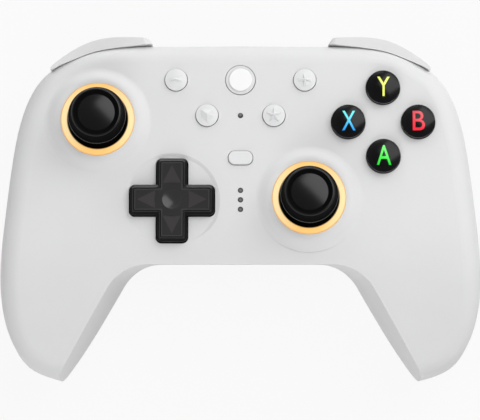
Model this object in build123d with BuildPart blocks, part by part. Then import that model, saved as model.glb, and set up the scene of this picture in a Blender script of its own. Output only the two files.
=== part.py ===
from build123d import *
import os
from math import cos, radians, sin, sqrt, tan

os.makedirs("parts", exist_ok=True)

# Gamepad controller, in millimetres and degrees.
# +X is the right of the face, +Y points from the player to the shoulders, +Z out of the face.
# The origin is the middle of the footprint, on the surface that the controller lies on.

# Whole form
half_width = 73.5
half_depth = 51.8
face_z = 47.0
back_z = 15.0
wall = 2.2
back_wall = 2.4
clearance = 0.3
slip = 0.2
overrun = 5.0
front_fillet = 6.0
back_fillet = 14.0
surface_tolerance = 0.02

# Plan outline, right half, from the middle of the shoulder edge round to the grip's tip
outline_shares = [
    (0, 0.954), (0.367, 0.952), (0.544, 0.950), (0.680, 0.905), (0.762, 0.834), (0.816, 0.776),
    (0.902, 0.575), (0.951, 0.270), (0.982, -0.097), (1.0, -0.463), (0.971, -0.743),
    (0.894, -0.915), (0.756, -1.0),
]
crotch_y = -19.6
crotch_half = 36.5
crotch_radius = 15.0
undercut_slope = 0.153
lean_slope = 0.08
notch_share = 1.5

# Face surface: flat, then bent down over the grips
droop_start_y = -6.0
droop_radius = 80.0
droop_angle = 25.0

# Back surface: a raised middle between two ridges, one along each grip
spine_half = 14.0
spine_blend = 30.0
ridge_y = -9.0
ridge_half = 16.0
ridge_shoulder_run = 50.0
ridge_shoulder_rise = 22.0
ridge_tip_run = 28.0
ridge_tip_rise = 15.0
rest_cut = 0.4

# Seam between the two casings
seam_drop = 9.5

# Places on the face
outer_x = 43.7
outer_y = 24.4
inner_x = 20.9
inner_y = 0.0
face_button_reach = 10.7
stick_offset = 0.6
menu_row_y = 37.6
menu_row_x = 19.75
second_row_y = 26.5
second_row_x = 10.25
profile_y = 13.25
lamp_y = 0.25
lamp_pitch = 2.95

# Thumbsticks
ring_outer = 11.3
ring_inner = 9.2
ring_height = 2.4
ring_proud = 0.2
collar_top = 12.0
collar_base = 16.5
collar_rise = 1.8
ledge_inner = 9.6
pivot_z = 38.0
dome_radius = 11.5
dome_wall = 0.9
dome_reach = 74.0
stem_radius = 3.4
stem_top = 51.5
cap_radius = 7.65
cap_skirt_radius = 8.8
cap_under_z = 54.2
cap_top_z = 60.0
cap_dish_radius = 5.6
cap_dish_depth = 0.9
cap_dish_slope = 0.8
cap_dome_rise = 0.4
cap_edge = 0.5
lever_radius = 1.0
lever_head_radius = 1.6
lever_head_z = 49.5
lever_top_z = 56.0
lever_foot = 1.7
hub_radius = 2.0
lever_slip = 0.05
module_half = 6.8
module_wall = 0.5
module_floor = 0.8
module_rise = 3.3
module_corner = 2.6
pot_thickness = 2.6
pot_half = 4.0
pot_rise = 1.5
inner_rocker_radii = (3.6, 4.4)
outer_rocker_radii = (5.0, 5.8)
rocker_half = 2.0
rocker_foot = 1.5
slot_half = 1.2
inner_slot_reach = 2.9
outer_slot_reach = 3.4
trunnion_radius = 1.2
trunnion_inner_gap = 0.2
trunnion_bite = 0.9

# Direction pad
dpad_span = 25.7
dpad_arm = 9.3
dpad_corner = 1.5
dpad_proud = 2.5
dpad_bevel = 1.25
dpad_bevel_drop = 0.8
dpad_gap = 0.35
dpad_dimple_radius = 2.9
dpad_dimple_depth = 0.5
dish_radius = 14.7
dish_floor_radius = 13.7
dish_depth = 0.25
dpad_flange_radius = 13.6
dpad_flange_top = 43.4
dpad_flange_thickness = 1.2
dpad_pivot_z = 43.5
dpad_ball_radius = 2.2
dpad_ball_gap = 0.3
triangle_base = 5.0
triangle_height = 4.9
triangle_reach = 11.0
triangle_depth = 0.25

# Face buttons
button_radius = 5.15
button_proud = 1.9
button_crown = 1.1
button_gap = 0.2
button_flange = 0.9
button_flange_thickness = 1.5
button_skirt_radius = 4.6
button_foot_z = 38.5
button_travel = 1.5

# Small round buttons, home button and profile button
small_radius = 3.4
small_proud = 0.7
small_crown = 0.35
small_flange = 0.5
small_flange_thickness = 1.2
small_stem_radius = 1.5
small_travel = 0.5
home_radius = 3.6
home_ring = 4.5
home_step = 0.5
profile_length = 7.4
profile_width = 4.2
profile_corner = 1.9
profile_proud = 0.7

# Lamps
lamp_radius = 0.8
lamp_flange = 0.6
lamp_flange_thickness = 1.2

# Main board and what sits on it
board_z = 31.4
board_thickness = 1.6
board_half = 60.0
board_low_half = 33.0
board_low_y = -14.5
board_step_y = -3.0
board_shoulder_y = 31.5
board_top_y = 41.0
board_top_half = 51.0
board_tongue_half = 7.2
board_tongue_y = 46.6
board_neck_half = 20.2
board_neck_y = 44.5
switch_side = 4.0
switch_height = 3.0
plunger_radius = 0.9
plunger_height = 0.6
pad_thickness = 1.2
pad_disc = 5.4
pad_dome_base = 3.6
pad_dome_top = 2.8
pad_web = 6.0
dpad_pad_radius = 12.2
dpad_dome_reach = 9.2
dpad_dome_base = 2.6
dpad_dome_top = 2.0
dpad_dome_gap = 1.2
port_width = 8.94
port_height = 3.26
port_depth = 7.3
port_wall = 0.3
port_inset = 0.8
tongue_width = 6.7
tongue_height = 0.7
tongue_back = 1.0

# Battery
battery_length = 42.0
battery_width = 32.0
battery_height = 7.6
battery_corner = 3.0
battery_y = 9.5
battery_z = 21.0
cradle_rib = 1.6
cradle_reach = 10.0

# Fasteners
case_screw_places = [(60.0, -34.0), (30.0, 15.0)]
case_screw_radius = 1.3
case_screw_length = 12.0
case_head_radius = 2.5
case_head_height = 2.0
case_seat_z = 26.0
case_seat_thickness = 2.0
case_tube_radius = 3.5
case_boss_radius = 3.2
board_post_places = [(57.0, 6.0), (27.5, 38.6)]
board_middle_post_y = -11.0
board_post_radius = 2.3
board_screw_radius = 0.9
board_screw_length = 7.6
board_head_radius = 1.7
board_head_height = 1.2
socket_radius = 1.0
socket_depth = 0.8

# Shoulder buttons
bumper_seam_shares = [
    (0.369, 0.952), (0.537, 0.921), (0.633, 0.890), (0.694, 0.855), (0.762, 0.815), (0.790, 0.792),
]
bumper_edge_shares = [
    (0.386, 0.991), (0.470, 0.993), (0.550, 0.989), (0.615, 0.970), (0.667, 0.940), (0.717, 0.899),
    (0.759, 0.857), (0.785, 0.826), (0.797, 0.806),
]
bumper_gap = 0.2
bumper_top_drop = 1.3
bumper_roll = 2.0
bumper_floor_z = 31.0
bumper_lift = 1.2
bay_wall = 1.6
bay_start_x = 20.6
bay_tab_y = 41.6
tab_x = (22.6, 33.0)
tab_y = (43.4, 47.3)
tab_height = 7.0
bumper_pivot_x = 25.6
bumper_pin_radius = 1.0
bumper_pin_y = (42.0, 48.7)
bore_slip = 0.05

# Triggers
trigger_x = (32.0, 57.8)
trigger_gap = 0.5
trigger_bay_y = 31.5
trigger_well_y = 33.0
trigger_well_z = 29.0
trigger_pivot_y = 38.5
trigger_pivot_z = 24.5
trigger_boss = 3.5
trigger_pin_radius = 1.25
trigger_flare = 1.2
trigger_reach = 13.5
trigger_drop = 18.5
trigger_front_shares = [(0.75, 0.189), (0.80, -0.03), (0.74, -0.46), (0.79, -0.78), (1.0, -1.0)]
trigger_rear_shares = [(0.90, -1.08), (0.60, -0.91), (0.42, -0.62), (0.26, -0.32)]
spring_x = (42.0, 47.0)
spring_outer = 2.6

# Inner shoulder buttons, pairing button and mode switch
inner_button_x = 15.5
inner_button_z = 33.8
inner_button_length = 8.0
inner_button_height = 4.4
inner_button_proud = 0.7
inner_button_lip = 0.7
lip_thickness = 1.0
pair_x = -8.6
pair_z = 34.6
pair_radius = 1.2
pair_proud = 0.4
mode_y = 32.0
mode_knob = (5.0, 3.0)
mode_slot = (11.6, 3.6)
mode_plate = (17.0, 6.0)
mode_plate_thickness = 1.0
mode_proud = 0.6

# Paddles under the grips
paddle_x = (19.0, 33.0)
paddle_y = (-7.5, 10.5)
paddle_corner = 4.0
paddle_proud = 1.5
paddle_sunk = 0.2
paddle_well = 1.3
paddle_gap = 0.5

# Dock seat and charging contacts
dock_length = 24.0
dock_width = 9.0
dock_y = -4.0
dock_depth = 0.6
contact_pitch = 5.0
contact_radius = 1.2
contact_gap = 0.1

# Rumble motors
motor_y = -16.0
motor_z = 16.0
motor_x = (50.5, 62.0)
motor_radius = 6.5
motor_edge = 0.8
motor_shaft_radius = 1.0
weight_x = (45.0, 49.5)
weight_radii = (6.5, 8.5)
cradle_x = (52.5, 58.5)

# Worked-out heights
face_under = face_z - wall
parting_z = face_z - seam_drop
board_top = board_z + board_thickness
blank_top = face_z + overrun
blank_bottom = -overrun
case_tube_top = case_seat_z + case_seat_thickness
ring_top = face_z + collar_rise + ring_proud
ring_foot = ring_top - ring_height
switch_top = board_top + switch_height
small_foot_z = switch_top + plunger_height + small_travel + bore_slip

left_stick_place = (-outer_x, outer_y + stick_offset)
right_stick_place = (inner_x, inner_y + stick_offset)
dpad_place = (-inner_x, inner_y)
face_buttons = {
    "button_a": (outer_x, outer_y - face_button_reach),
    "button_b": (outer_x + face_button_reach, outer_y),
    "button_x": (outer_x - face_button_reach, outer_y),
    "button_y": (outer_x, outer_y + face_button_reach),
}
small_buttons = {
    "minus_button": (-menu_row_x, menu_row_y),
    "plus_button": (menu_row_x, menu_row_y),
    "menu_button": (-second_row_x, second_row_y),
    "star_button": (second_row_x, second_row_y),
}
lamp_places = [second_row_y, lamp_y - lamp_pitch, lamp_y, lamp_y + lamp_pitch]


def smooth(t):
    """A rise from 0 to 1 that starts and ends level."""
    t = min(max(t, 0), 1)
    return t**3 * (10 - 15 * t + 6 * t * t)


def front_height(x, y):
    """Height of the face over a place."""
    ahead = droop_start_y - y
    bend = droop_radius * sin(radians(droop_angle))
    if ahead <= 0:
        return face_z
    if ahead < bend:
        return face_z - (droop_radius - sqrt(droop_radius**2 - ahead**2))
    bent = droop_radius * (1 - cos(radians(droop_angle)))
    return face_z - bent - (ahead - bend) * tan(radians(droop_angle))


def back_height(x, y):
    """Height of the back over a place."""
    side = smooth((abs(x) - spine_half) / spine_blend)
    past = max(0, abs(y - ridge_y) - ridge_half)
    if y > ridge_y:
        ridge = ridge_shoulder_rise * (past / ridge_shoulder_run) ** 3 - rest_cut
    else:
        ridge = ridge_tip_rise * (past / ridge_tip_run) ** 3 - rest_cut
    return back_z * (1 - side) + ridge * side


def height_surface(height):
    """A smooth face through a grid of heights that covers the whole plan."""
    columns, rows, spread_share = 23, 23, 1.15
    grid = []
    for i in range(columns):
        x = half_width * spread_share * (2 * i / (columns - 1) - 1)
        grid.append([])
        for j in range(rows):
            y = half_depth * spread_share * (2 * j / (rows - 1) - 1)
            grid[i].append(Vector(x, y, height(x, y)))
    return Face.make_surface_from_array_of_points(grid, tol=surface_tolerance, max_deg=5)


def plan_points(shares):
    """Points in plan from shares of the half width and half depth."""
    return [(x * half_width, y * half_depth) for x, y in shares]


rim_ends = [(1, 0), (-0.95, -0.3)]


def rim_points(inset):
    """The right half of the plan outline, each point moved inwards."""
    rim = Spline(*plan_points(outline_shares), tangents=rim_ends)
    moved = []
    for point in plan_points(outline_shares):
        heading = rim.tangent_at(rim.param_at_point(point))
        moved.append(Vector(*point) + Vector(heading.Y, -heading.X) * inset)
    return moved


def casing_blank(inset):
    """The casing's outline through its whole height, less the space between the grips."""
    points = rim_points(inset)
    tip = rim_points(0)[-1]
    with BuildPart() as blank:
        with BuildSketch(Plane.XY.offset(blank_bottom)):
            with BuildLine():
                Spline(*points, tangents=rim_ends)
                Line(points[-1], (0, points[-1].Y))
                mirror(about=Plane.YZ)
            make_face()
        extrude(amount=blank_top - blank_bottom)
        for z in (blank_bottom, blank_top):
            low_y = crotch_y + (face_z - z) * undercut_slope
            corner = Vector(crotch_half - (face_z - z) * lean_slope, low_y)
            far = corner + (tip - corner) * notch_share
            with BuildSketch(Plane.XY.offset(z)):
                with BuildLine():
                    FilletPolyline((-far.X, far.Y), (-corner.X, low_y), corner, far, radius=crotch_radius)
                    Line(far, (-far.X, far.Y))
                make_face()
                if inset:
                    offset(amount=inset, kind=Kind.INTERSECTION)
        loft(ruled=True, mode=Mode.SUBTRACT)
    return blank.part


def edge_near(shape, x, y, z):
    return shape.edges().sort_by_distance((x, y, z))[0]


def side_of(shape, surface, upper):
    """The part of a solid on one side of a surface."""
    pieces = split(shape, bisect_by=surface, keep=Keep.BOTH).solids()
    return pieces.sort_by(Axis.Z)[-1 if upper else 0]


front_surface = height_surface(front_height)
back_surface = height_surface(back_height)


def casing_form(inset, under):
    """The casing as a solid, drawn in all round by a wall: inset in plan, under at face and back."""
    body = side_of(casing_blank(inset), front_surface.moved(Location((0, 0, -inset))), False)
    body = side_of(body, back_surface.moved(Location((0, 0, under))), True)
    x = half_width - inset
    y = outline_shares[9][1] * half_depth
    rim = [edge_near(body, side * x, y, front_height(x, y) - inset) for side in (-1, 1)]
    body = body.fillet(front_fillet - inset, rim)
    rim = [edge_near(body, side * x, y, back_height(x, y) + under) for side in (-1, 1)]
    return body.fillet(back_fillet - under, rim)


outer_form = casing_form(0, 0)
inner_form = casing_form(wall, back_wall)
casing_shell = outer_form - inner_form
parting_surface = front_surface.moved(Location((0, 0, -seam_drop)))
upper_shell = side_of(casing_shell, parting_surface, True)
lower_shell = side_of(casing_shell, parting_surface, False)


def upright(x, y):
    """A plane that stands on a place, for profiles of radius and height."""
    return Plane(origin=(x, y, 0), x_dir=(1, 0, 0), z_dir=(0, -1, 0))


def cross_tips(cross):
    """The outer corners of a cross drawn at the direction pad."""
    x, y = dpad_place
    return cross.vertices().filter_by(lambda v: max(abs(v.X - x), abs(v.Y - y)) > dpad_arm)


def upright_axis(x, y):
    return Axis((x, y, 0), (0, 0, 1))


def post(x, y, radius, foot, top):
    """A round post between two heights, added to the part that is open."""
    with Locations((x, y, foot)):
        Cylinder(radius, top - foot, align=(Align.CENTER, Align.CENTER, Align.MIN))


def bore(x, y, radius, foot, top):
    """A round hole between two heights, cut from the part that is open."""
    with Locations((x, y, foot)):
        Cylinder(radius, top - foot, align=(Align.CENTER, Align.CENTER, Align.MIN), mode=Mode.SUBTRACT)


def block(x, y, z, mode=Mode.ADD):
    """A block between pairs of limits."""
    with Locations(((x[0] + x[1]) / 2, (y[0] + y[1]) / 2, (z[0] + z[1]) / 2)):
        Box(x[1] - x[0], y[1] - y[0], z[1] - z[0], mode=mode)


def rod(centre, radius, start, end, along, mode=Mode.ADD):
    """A rod along X or Y, through a centre of the two other coordinates."""
    middle = (start + end) / 2
    place = (middle, *centre) if along == "X" else (centre[0], middle, centre[1])
    turn = (0, 90, 0) if along == "X" else (90, 0, 0)
    with Locations(place):
        Cylinder(radius, end - start, rotation=turn, mode=mode)


def both_sides(places):
    return [(side * x, y) for x, y in places for side in (-1, 1)]


# Bays behind the shoulder buttons and the triggers, right side
seam_line = plan_points(bumper_seam_shares)
far_x, far_y = half_width, half_depth + overrun
tab_gap = clearance
bumper_foot_z = bumper_floor_z + bumper_lift

with BuildPart() as bumper_bay:
    with BuildSketch(Plane.XY.offset(trigger_well_z)):
        with BuildLine():
            back = [(x, y - bay_wall) for x, y in seam_line[1:]]
            corner_x = tab_x[1] + bay_wall
            Polyline(
                (bay_start_x, far_y), (bay_start_x, bay_tab_y), (corner_x, bay_tab_y), *back,
                (far_x, back[-1][1] - bay_wall), (far_x, far_y), close=True,
            )
        make_face()
    extrude(amount=blank_top - trigger_well_z)
    add(outer_form, mode=Mode.INTERSECT)

bay_above = side_of(bumper_bay.part, parting_surface, True)
bay_below = side_of(bumper_bay.part, parting_surface, False)

with BuildPart() as trigger_bay:
    bay_x = (trigger_x[0] - trigger_gap - bay_wall, far_x)
    block(bay_x, (trigger_bay_y, far_y), (blank_bottom, bumper_floor_z))
    add(outer_form, mode=Mode.INTERSECT)

tab_z = (parting_z - tab_height / 2, parting_z + tab_height / 2)
with BuildPart() as bumper_well:
    with BuildSketch(Plane.XY.offset(bumper_floor_z)):
        with BuildLine():
            Spline(*seam_line)
            end = seam_line[-1]
            Polyline(end, (far_x, end[1]), (far_x, far_y), (seam_line[0][0], far_y), seam_line[0])
        make_face()
    extrude(amount=blank_top - bumper_floor_z)
    well_z = (tab_z[0] - tab_gap, tab_z[1] + tab_gap)
    block((tab_x[0] - tab_gap, tab_x[1] + tab_gap), (tab_y[0] - tab_gap, tab_y[1] + tab_gap), well_z)
    arm_x = (seam_line[0][0] + bay_wall, tab_x[1])
    block((arm_x[0] - tab_gap, arm_x[1] + tab_gap), (tab_y[0] - tab_gap, far_y), well_z)
    rod((bumper_pivot_x, parting_z), bumper_pin_radius + bore_slip, bumper_pin_y[0], bumper_pin_y[1], "Y")

with BuildPart() as trigger_well:
    well_x = (trigger_x[0] - trigger_gap, trigger_x[1] + trigger_gap)
    block(well_x, (trigger_well_y, far_y), (blank_bottom, trigger_well_z))
    pin_x = (well_x[0] - bay_wall + bore_slip, well_x[1] + trigger_boss - bay_wall)
    rod((trigger_pivot_y, trigger_pivot_z), trigger_pin_radius + bore_slip, *pin_x, "X")

# Front casing
face_places = list(face_buttons.values())
with BuildPart() as front_posts:
    for x, y in both_sides(case_screw_places):
        post(x, y, case_boss_radius, case_tube_top, blank_top)
    for x, y in both_sides(board_post_places) + [(0, board_middle_post_y)]:
        post(x, y, board_post_radius, board_top, face_z - wall / 2)
    add(outer_form, mode=Mode.INTERSECT)

with BuildPart() as collars:
    for x, y in (left_stick_place, right_stick_place):
        with BuildSketch(upright(x, y)):
            with BuildLine():
                rim = (collar_top, face_z + collar_rise)
                low_z = face_z - wall / 2
                Spline(rim, (collar_base, face_z), tangents=[(1, 0), (1, 0)])
                Polyline((collar_base, face_z), (collar_base, low_z), (ledge_inner, low_z))
                Polyline((ledge_inner, low_z), (ledge_inner, rim[1]), rim)
            make_face()
        revolve(axis=upright_axis(x, y))

with BuildPart() as face_openings:
    for x, y in (left_stick_place, right_stick_place):
        post(x, y, ledge_inner, face_under - overrun, blank_top)
        post(x, y, ring_outer + bore_slip, ring_foot, blank_top)
    with BuildSketch(upright(*dpad_place)):
        with BuildLine():
            floor_z = face_z - dish_depth
            Polyline(
                (0, floor_z), (dish_floor_radius, floor_z), (dish_radius, face_z), (dish_radius, blank_top),
                (0, blank_top), close=True,
            )
        make_face()
    revolve(axis=upright_axis(*dpad_place))
    with BuildSketch(Plane.XY.offset(face_under - overrun)) as cross_hole:
        with Locations(dpad_place):
            Rectangle(dpad_span + 2 * dpad_gap, dpad_arm + 2 * dpad_gap)
            Rectangle(dpad_arm + 2 * dpad_gap, dpad_span + 2 * dpad_gap)
        fillet(cross_tips(cross_hole), dpad_corner + dpad_gap)
    with BuildSketch(Plane.XY.offset(face_under - overrun)):
        with Locations((0, profile_y)):
            RectangleRounded(
                profile_length + 2 * button_gap, profile_width + 2 * button_gap, profile_corner + button_gap
            )
        with Locations(face_places):
            Circle(button_radius + button_gap)
        with Locations(list(small_buttons.values())):
            Circle(small_radius + button_gap)
        with Locations((0, menu_row_y)):
            Circle(home_ring + button_gap)
        with Locations([(0, y) for y in lamp_places]):
            Circle(lamp_radius + bore_slip)
    extrude(amount=blank_top - face_under + overrun)
    for x, y in both_sides(case_screw_places):
        post(x, y, case_screw_radius + bore_slip, case_tube_top, case_seat_z + case_screw_length + clearance)
    for x, y in both_sides(board_post_places) + [(0, board_middle_post_y)]:
        post(x, y, board_screw_radius + bore_slip, board_top, board_z + board_screw_length + clearance)

left_bay_above = mirror(bay_above, about=Plane.YZ)
left_bay_below = mirror(bay_below, about=Plane.YZ)
left_bumper_well = mirror(bumper_well.part, about=Plane.YZ)
left_trigger_well = mirror(trigger_well.part, about=Plane.YZ)
left_trigger_bay = mirror(trigger_bay.part, about=Plane.YZ)

with BuildPart() as front_shell:
    add(upper_shell)
    add([bay_above, left_bay_above, front_posts.part, collars.part])
    add([bumper_well.part, left_bumper_well, face_openings.part], mode=Mode.SUBTRACT)
front_shell.part.label = "front_shell"
export_step(front_shell.part, "parts/front_shell.step")

# Rear casing
with BuildPart() as rear_posts:
    for x, y in both_sides(case_screw_places):
        post(x, y, case_tube_radius, blank_bottom, case_tube_top)
    for side in (-1, 1):
        rib_y = battery_y + side * cradle_reach
        across = (rib_y - cradle_rib / 2, rib_y + cradle_rib / 2)
        block((-battery_length / 2, battery_length / 2), across, (back_z + back_wall / 2, battery_z))
        for x in cradle_x:
            across = sorted((side * x, side * (x + cradle_rib)))
            block(across, (motor_y - motor_radius, motor_y + motor_radius), (blank_bottom, motor_z))
            rod((motor_y, motor_z), motor_radius + bore_slip, *across, "X", mode=Mode.SUBTRACT)
    add(outer_form, mode=Mode.INTERSECT)

with BuildPart() as paddle_blank:
    with BuildSketch(Plane.XY.offset(blank_bottom)):
        with Locations(((paddle_x[0] + paddle_x[1]) / 2, (paddle_y[0] + paddle_y[1]) / 2)):
            RectangleRounded(paddle_x[1] - paddle_x[0], paddle_y[1] - paddle_y[0], paddle_corner)
    extrude(amount=parting_z - blank_bottom)

with BuildPart() as paddle_well_blank:
    with BuildSketch(Plane.XY.offset(blank_bottom)):
        with Locations(((paddle_x[0] + paddle_x[1]) / 2, (paddle_y[0] + paddle_y[1]) / 2)):
            RectangleRounded(
                paddle_x[1] - paddle_x[0] + 2 * paddle_gap, paddle_y[1] - paddle_y[0] + 2 * paddle_gap,
                paddle_corner + paddle_gap,
            )
    extrude(amount=parting_z - blank_bottom)

paddle_outside = back_surface.moved(Location((0, 0, -paddle_proud)))
paddle_inside = back_surface.moved(Location((0, 0, paddle_sunk)))
paddle_floor = back_surface.moved(Location((0, 0, paddle_well)))
paddle_solid = side_of(side_of(paddle_blank.part, paddle_outside, True), paddle_inside, False)
paddle_recess = side_of(paddle_well_blank.part, paddle_floor, False)

inner_buttons = [(side * inner_button_x, inner_button_z) for side in (-1, 1)]
shoulder_y = outline_shares[0][1] * half_depth
shoulder_inner_y = shoulder_y - wall
port_z = board_top + port_height / 2
with BuildPart() as rear_openings:
    for x, y in both_sides(case_screw_places):
        post(x, y, case_screw_radius + bore_slip, case_seat_z - overrun, case_tube_top + overrun)
        post(x, y, case_head_radius + clearance, blank_bottom, case_seat_z)
    block((-half_width, half_width), (-half_depth, half_depth), (2 * blank_bottom, 0))
    with BuildSketch(Plane.XZ.offset(-shoulder_inner_y + overrun)):
        with Locations(inner_buttons):
            RectangleRounded(
                inner_button_length + 2 * button_gap,
                inner_button_height + 2 * button_gap,
                inner_button_height / 2,
            )
        with Locations((pair_x, pair_z)):
            Circle(pair_radius + button_gap)
        with Locations((0, port_z)):
            SlotOverall(port_width + 2 * button_gap, port_height + 2 * button_gap)
    extrude(amount=-(wall + 2 * overrun))
    block((-mode_slot[0] / 2, mode_slot[0] / 2), (mode_y - mode_slot[1] / 2, mode_y + mode_slot[1] / 2),
          (back_z - overrun, back_z + back_wall + overrun / 2))
    block((-dock_length / 2, dock_length / 2), (dock_y - dock_width / 2, dock_y + dock_width / 2),
          (back_z - overrun, back_z + dock_depth))
    for x in (-contact_pitch, 0, contact_pitch):
        post(x, dock_y, contact_radius + contact_gap, back_z - overrun, back_z + back_wall + overrun / 2)

with BuildPart() as rear_shell:
    add(lower_shell)
    add([bay_below, left_bay_below, trigger_bay.part, left_trigger_bay, rear_posts.part])
    add(
        [
            bumper_well.part, left_bumper_well, trigger_well.part, left_trigger_well, rear_openings.part,
            paddle_recess, mirror(paddle_recess, about=Plane.YZ),
        ],
        mode=Mode.SUBTRACT,
    )
rear_shell.part.label = "rear_shell"
export_step(rear_shell.part, "parts/rear_shell.step")

# Paddles
with BuildPart() as right_paddle:
    add(paddle_solid)
right_paddle.part.label = "right_paddle"
export_step(right_paddle.part, "parts/right_paddle.step")

with BuildPart() as left_paddle:
    mirror(right_paddle.part, about=Plane.YZ)
left_paddle.part.label = "left_paddle"
export_step(left_paddle.part, "parts/left_paddle.step")

# Shoulder buttons
bumper_top_z = face_z - bumper_top_drop
with BuildPart() as right_bumper:
    with BuildSketch(Plane.XY.offset(bumper_foot_z)):
        with BuildLine():
            inside = [(x, y + bumper_gap) for x, y in seam_line]
            outside = plan_points(bumper_edge_shares)
            Spline(*inside)
            Line(inside[-1], outside[-1])
            Spline(*reversed(outside))
            Line(outside[0], inside[0])
        make_face()
    extrude(amount=bumper_top_z - bumper_foot_z)
    top_edges = right_bumper.faces().sort_by(Axis.Z)[-1].edges()
    fillet(top_edges.sort_by(Axis.Y)[-1], radius=bumper_roll)
    block(tab_x, tab_y, tab_z)
    block(arm_x, (tab_y[0], tab_y[1] + bumper_roll + bumper_roll / 2), tab_z)
    pivot = (bumper_pivot_x, parting_z)
    rod(pivot, bumper_pin_radius + bore_slip, tab_y[0] - overrun, tab_y[1] + overrun, "Y", mode=Mode.SUBTRACT)
right_bumper.part.label = "right_bumper"
export_step(right_bumper.part, "parts/right_bumper.step")

with BuildPart() as left_bumper:
    mirror(right_bumper.part, about=Plane.YZ)
left_bumper.part.label = "left_bumper"
export_step(left_bumper.part, "parts/left_bumper.step")

with BuildPart() as bumper_pins:
    for side in (-1, 1):
        rod((side * bumper_pivot_x, parting_z), bumper_pin_radius, bumper_pin_y[0], bumper_pin_y[1], "Y")
bumper_pins.part.label = "bumper_pins"
export_step(bumper_pins.part, "parts/bumper_pins.step")

# Triggers
reach = rim_points(-trigger_flare)
with BuildPart() as trigger_limit:
    with BuildSketch(Plane.XY.offset(blank_bottom)):
        with BuildLine():
            Spline(*reach, tangents=rim_ends)
            Polyline(reach[-1], (0, reach[-1].Y), reach[0])
        make_face()
    extrude(amount=parting_z - blank_bottom)

trigger_pivot = (trigger_pivot_y, trigger_pivot_z)
trigger_side = Plane(origin=(trigger_x[0], *trigger_pivot), x_dir=(0, 1, 0), z_dir=(1, 0, 0))
with BuildPart() as right_trigger:
    with BuildSketch(trigger_side):
        with BuildLine():
            front = [(y * trigger_reach, z * trigger_drop) for y, z in trigger_front_shares]
            rear = [(y * trigger_reach, z * trigger_drop) for y, z in trigger_rear_shares]
            Line((0, trigger_boss), front[0])
            Spline(*front)
            Line(front[-1], rear[0])
            Spline(*rear)
            Line(rear[-1], (0, -trigger_boss))
            Line((0, -trigger_boss), (0, trigger_boss))
        make_face()
        Circle(trigger_boss)
        Circle(trigger_pin_radius + bore_slip, mode=Mode.SUBTRACT)
    extrude(amount=trigger_x[1] - trigger_x[0])
    add(trigger_limit.part, mode=Mode.INTERSECT)
    room = (spring_x[0] - clearance, spring_x[1] + clearance)
    rod(trigger_pivot, trigger_boss + clearance, *room, "X", mode=Mode.SUBTRACT)
right_trigger.part.label = "right_trigger"
export_step(right_trigger.part, "parts/right_trigger.step")

with BuildPart() as left_trigger:
    mirror(right_trigger.part, about=Plane.YZ)
left_trigger.part.label = "left_trigger"
export_step(left_trigger.part, "parts/left_trigger.step")

with BuildPart() as trigger_pins:
    for side in (-1, 1):
        rod(trigger_pivot, trigger_pin_radius, *sorted((side * pin_x[0], side * pin_x[1])), "X")
trigger_pins.part.label = "trigger_pins"
export_step(trigger_pins.part, "parts/trigger_pins.step")

with BuildPart() as trigger_springs:
    for side in (-1, 1):
        across = sorted((side * spring_x[0], side * spring_x[1]))
        rod(trigger_pivot, spring_outer, *across, "X")
        rod(trigger_pivot, trigger_pin_radius + bore_slip, *across, "X", mode=Mode.SUBTRACT)
trigger_springs.part.label = "trigger_springs"
export_step(trigger_springs.part, "parts/trigger_springs.step")

# Inner shoulder buttons and pairing button
for side, (x, z) in zip(("left", "right"), inner_buttons):
    with BuildPart() as inner_button:
        with BuildSketch(Plane.XZ.offset(-(shoulder_inner_y - slip - lip_thickness))):
            with Locations((x, z)):
                RectangleRounded(
                    inner_button_length + 2 * inner_button_lip, inner_button_height + 2 * inner_button_lip,
                    inner_button_height / 2,
                )
        extrude(amount=-lip_thickness)
        with BuildSketch(Plane.XZ.offset(-(shoulder_inner_y - slip))):
            with Locations((x, z)):
                RectangleRounded(inner_button_length, inner_button_height, inner_button_height / 2 - slip)
        extrude(amount=-(wall + slip + inner_button_proud))
        fillet(inner_button.faces().sort_by(Axis.Y)[-1].edges(), radius=inner_button_proud / 2)
    inner_button.part.label = f"{side}_inner_button"
    export_step(inner_button.part, f"parts/{side}_inner_button.step")

with BuildPart() as pair_button:
    lip_y = shoulder_inner_y - slip - lip_thickness
    rod((pair_x, pair_z), pair_radius + inner_button_lip, lip_y, lip_y + lip_thickness, "Y")
    rod((pair_x, pair_z), pair_radius, lip_y, shoulder_y + pair_proud, "Y")
pair_button.part.label = "pair_button"
export_step(pair_button.part, "parts/pair_button.step")

# Mode switch on the back
with BuildPart() as mode_slider:
    plate_z = back_z + back_wall + slip
    block((-mode_plate[0] / 2, mode_plate[0] / 2), (mode_y - mode_plate[1] / 2, mode_y + mode_plate[1] / 2),
          (plate_z, plate_z + mode_plate_thickness))
    block((-mode_knob[0] / 2, mode_knob[0] / 2), (mode_y - mode_knob[1] / 2, mode_y + mode_knob[1] / 2),
          (back_z - mode_proud, plate_z))
mode_slider.part.label = "mode_slider"
export_step(mode_slider.part, "parts/mode_slider.step")

# Charging contacts
with BuildPart() as charging_contacts:
    for x in (-contact_pitch, 0, contact_pitch):
        head_z = back_z + back_wall
        post(x, dock_y, contact_radius, back_z + dock_depth, head_z)
        post(x, dock_y, contact_radius + contact_radius / 2, head_z, head_z + lip_thickness)
charging_contacts.part.label = "charging_contacts"
export_step(charging_contacts.part, "parts/charging_contacts.step")

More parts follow.
